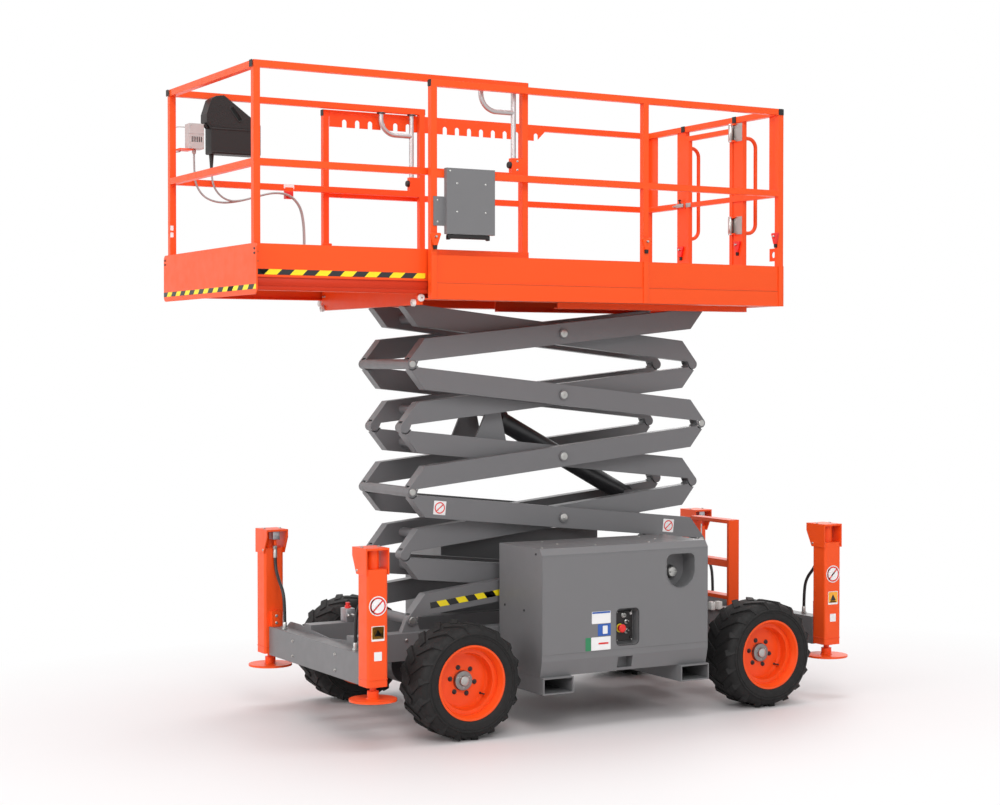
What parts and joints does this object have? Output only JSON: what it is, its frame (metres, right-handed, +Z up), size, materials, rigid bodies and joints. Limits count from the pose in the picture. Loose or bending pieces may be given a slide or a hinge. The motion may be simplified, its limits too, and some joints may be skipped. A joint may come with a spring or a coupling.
{
  "type": "rough-terrain scissor lift",
  "caption": "Rough-terrain scissor lift with a five-stage arm stack, railed platform with roll-out extension, outrigger jacks, steered front wheels and side modules.",
  "frame": {"origin": "on the ground, under the middle of the machine's box", "axes": "+X forward over the steered wheels and the roll-out extension, +Y to the left, +Z up"},
  "size_m": [4.0529, 1.76, 3.7665],
  "materials": {
    "orange_paint": "satin gloss powder coat",
    "grey_paint": "satin powder coat",
    "arm_paint": "satin powder coat",
    "black_metal": "semi gloss",
    "chrome": "polished",
    "tyre_rubber": "matt",
    "black_plastic": "moulded",
    "pale_plastic": "moulded",
    "grey_rubber": "matt",
    "black_rubber": "matt"
  },
  "bodies": {
    "chassis": {"chassis_frame": "grey_paint", "fork_pockets": "grey_paint", "ladder": "orange_paint", "module_left": "grey_paint", "base_controls": "black_plastic", "module_right": "grey_paint", "engine_block": "black_metal", "drive_axle": "black_metal", "steer_axle": "black_metal", "jack_housing_fl": "orange_paint", "jack_housing_fr": "orange_paint", "jack_housing_rl": "orange_paint", "jack_housing_rr": "orange_paint", "jack_hose_fl": "black_rubber", "jack_hose_fr": "black_rubber", "jack_hose_rl": "black_rubber", "jack_hose_rr": "black_rubber"},
    "outer_arm_1": {"outer_arms_1": "arm_paint"},
    "inner_arm_1": {"inner_arms_1": "arm_paint"},
    "outer_arm_2": {"outer_arms_2": "arm_paint"},
    "inner_arm_2": {"inner_arms_2": "arm_paint"},
    "outer_arm_3": {"outer_arms_3": "arm_paint"},
    "inner_arm_3": {"inner_arms_3": "arm_paint"},
    "outer_arm_4": {"outer_arms_4": "arm_paint"},
    "inner_arm_4": {"inner_arms_4": "arm_paint"},
    "outer_arm_5": {"outer_arms_5": "arm_paint"},
    "inner_arm_5": {"inner_arms_5": "arm_paint"},
    "cylinder_barrel": {"lift_barrel": "black_metal"},
    "cylinder_rod": {"lift_rod": "chrome"},
    "deck": {"deck_platform": "orange_paint", "main_rails": "orange_paint", "comb_rack": "orange_paint", "document_box": "grey_paint"},
    "extension": {"extension_deck": "orange_paint", "extension_rails": "orange_paint", "push_handles": "grey_paint", "control_box": "black_plastic", "outlet_box": "pale_plastic", "control_cable": "grey_rubber", "outlet_cable": "grey_rubber"},
    "gate": {"gate": "orange_paint"},
    "wheel_fl": {"rim_fl": "orange_paint", "tyre_fl": "tyre_rubber"},
    "foot_fl": {"jack_foot_fl": "orange_paint"},
    "wheel_fr": {"rim_fr": "orange_paint", "tyre_fr": "tyre_rubber"},
    "foot_fr": {"jack_foot_fr": "orange_paint"},
    "wheel_rl": {"rim_rl": "orange_paint", "tyre_rl": "tyre_rubber"},
    "foot_rl": {"jack_foot_rl": "orange_paint"},
    "wheel_rr": {"rim_rr": "orange_paint", "tyre_rr": "tyre_rubber"},
    "foot_rr": {"jack_foot_rr": "orange_paint"},
    "knuckle_left": {"knuckle_left": "black_metal"},
    "knuckle_right": {"knuckle_right": "black_metal"}
  },
  "joints": [
    {"name": "lift", "type": "hinge", "parent": "chassis", "child": "outer_arm_1", "pos_m": [0.8885, 0, 0.63], "axis": [0, 1, 0], "range_deg": [-5.29, 48.76]},
    {"name": "outer_fold_2", "type": "hinge", "parent": "outer_arm_1", "child": "outer_arm_2", "pos_m": [-1.18789, 0, 1.0051], "axis": [0, -1, 0], "range_deg": [-10.6, 97.54]},
    {"name": "outer_fold_3", "type": "hinge", "parent": "outer_arm_2", "child": "outer_arm_3", "pos_m": [0.8885, 0, 1.3802], "axis": [0, 1, 0], "range_deg": [-10.6, 97.54]},
    {"name": "outer_fold_4", "type": "hinge", "parent": "outer_arm_3", "child": "outer_arm_4", "pos_m": [-1.18789, 0, 1.7553], "axis": [0, -1, 0], "range_deg": [-10.6, 97.54]},
    {"name": "outer_fold_5", "type": "hinge", "parent": "outer_arm_4", "child": "outer_arm_5", "pos_m": [0.8885, 0, 2.13039], "axis": [0, 1, 0], "range_deg": [-10.6, 97.54]},
    {"name": "inner_fold_1", "type": "hinge", "parent": "outer_arm_1", "child": "inner_arm_1", "pos_m": [-0.1497, 0, 0.81755], "axis": [0, -1, 0], "range_deg": [-10.6, 97.54]},
    {"name": "inner_fold_2", "type": "hinge", "parent": "outer_arm_2", "child": "inner_arm_2", "pos_m": [-0.1497, 0, 1.19265], "axis": [0, 1, 0], "range_deg": [-10.6, 97.54]},
    {"name": "inner_fold_3", "type": "hinge", "parent": "outer_arm_3", "child": "inner_arm_3", "pos_m": [-0.1497, 0, 1.56775], "axis": [0, -1, 0], "range_deg": [-10.6, 97.54]},
    {"name": "inner_fold_4", "type": "hinge", "parent": "outer_arm_4", "child": "inner_arm_4", "pos_m": [-0.1497, 0, 1.94284], "axis": [0, 1, 0], "range_deg": [-10.6, 97.54]},
    {"name": "inner_fold_5", "type": "hinge", "parent": "outer_arm_5", "child": "inner_arm_5", "pos_m": [-0.1497, 0, 2.31794], "axis": [0, -1, 0], "range_deg": [-10.6, 97.54]},
    {"name": "deck_level", "type": "hinge", "parent": "inner_arm_5", "child": "deck", "pos_m": [0.8885, 0, 2.50549], "axis": [0, 1, 0], "range_deg": [-5.31, 48.78]},
    {"name": "ram_foot", "type": "hinge", "parent": "inner_arm_2", "child": "cylinder_barrel", "pos_m": [-0.80185, 0, 1.30173], "axis": [0, -1, 0], "range_deg": [-10.7, 98.17]},
    {"name": "ram_slide", "type": "slide", "parent": "cylinder_barrel", "child": "cylinder_rod", "axis": [0.8834, 0, 0.4686], "range_m": [-0.0653, 0.5932]},
    {"name": "extension_slide", "type": "slide", "parent": "deck", "child": "extension", "axis": [1, 0, 0], "range_m": [-0.985, 0.185]},
    {"name": "gate_hinge", "type": "hinge", "parent": "deck", "child": "gate", "pos_m": [-1.4675, 0.26, 3.2005], "axis": [0, 0, 1], "range_deg": [0, 90]},
    {"name": "steer_left", "type": "hinge", "parent": "chassis", "child": "knuckle_left", "pos_m": [0.7835, 0.6, 0.33], "axis": [0, 0, 1], "range_deg": [-35, 35]},
    {"name": "steer_right", "type": "hinge", "parent": "chassis", "child": "knuckle_right", "pos_m": [0.7835, -0.6, 0.33], "axis": [0, 0, 1], "range_deg": [-35, 35]},
    {"name": "spin_fl", "type": "hinge", "parent": "knuckle_left", "child": "wheel_fl", "pos_m": [0.7835, 0.7175, 0.33], "axis": [0, 1, 0], "continuous": true},
    {"name": "spin_fr", "type": "hinge", "parent": "knuckle_right", "child": "wheel_fr", "pos_m": [0.7835, -0.7175, 0.33], "axis": [0, 1, 0], "continuous": true},
    {"name": "spin_rl", "type": "hinge", "parent": "chassis", "child": "wheel_rl", "pos_m": [-1.3365, 0.7175, 0.33], "axis": [0, 1, 0], "continuous": true},
    {"name": "spin_rr", "type": "hinge", "parent": "chassis", "child": "wheel_rr", "pos_m": [-1.3365, -0.7175, 0.33], "axis": [0, 1, 0], "continuous": true},
    {"name": "jack_fl", "type": "slide", "parent": "chassis", "child": "foot_fl", "axis": [0, 0, -1], "range_m": [0, 0.35]},
    {"name": "jack_fr", "type": "slide", "parent": "chassis", "child": "foot_fr", "axis": [0, 0, -1], "range_m": [0, 0.35]},
    {"name": "jack_rl", "type": "slide", "parent": "chassis", "child": "foot_rl", "axis": [0, 0, -1], "range_m": [0, 0.35]},
    {"name": "jack_rr", "type": "slide", "parent": "chassis", "child": "foot_rr", "axis": [0, 0, -1], "range_m": [0, 0.35]}
  ],
  "couplings": [
    {"joint": "outer_fold_2", "follows": "lift", "ratio": 2},
    {"joint": "outer_fold_3", "follows": "lift", "ratio": 2},
    {"joint": "outer_fold_4", "follows": "lift", "ratio": 2},
    {"joint": "outer_fold_5", "follows": "lift", "ratio": 2},
    {"joint": "inner_fold_1", "follows": "lift", "ratio": 2},
    {"joint": "inner_fold_2", "follows": "lift", "ratio": 2},
    {"joint": "inner_fold_3", "follows": "lift", "ratio": 2},
    {"joint": "inner_fold_4", "follows": "lift", "ratio": 2},
    {"joint": "inner_fold_5", "follows": "lift", "ratio": 2},
    {"joint": "deck_level", "follows": "lift", "ratio": 1},
    {"joint": "ram_foot", "follows": "lift", "ratio": 2.0124},
    {"joint": "ram_slide", "follows": "lift", "m_per_rad": 0.6959},
    {"joint": "steer_right", "follows": "steer_left", "ratio": 1}
  ]
}
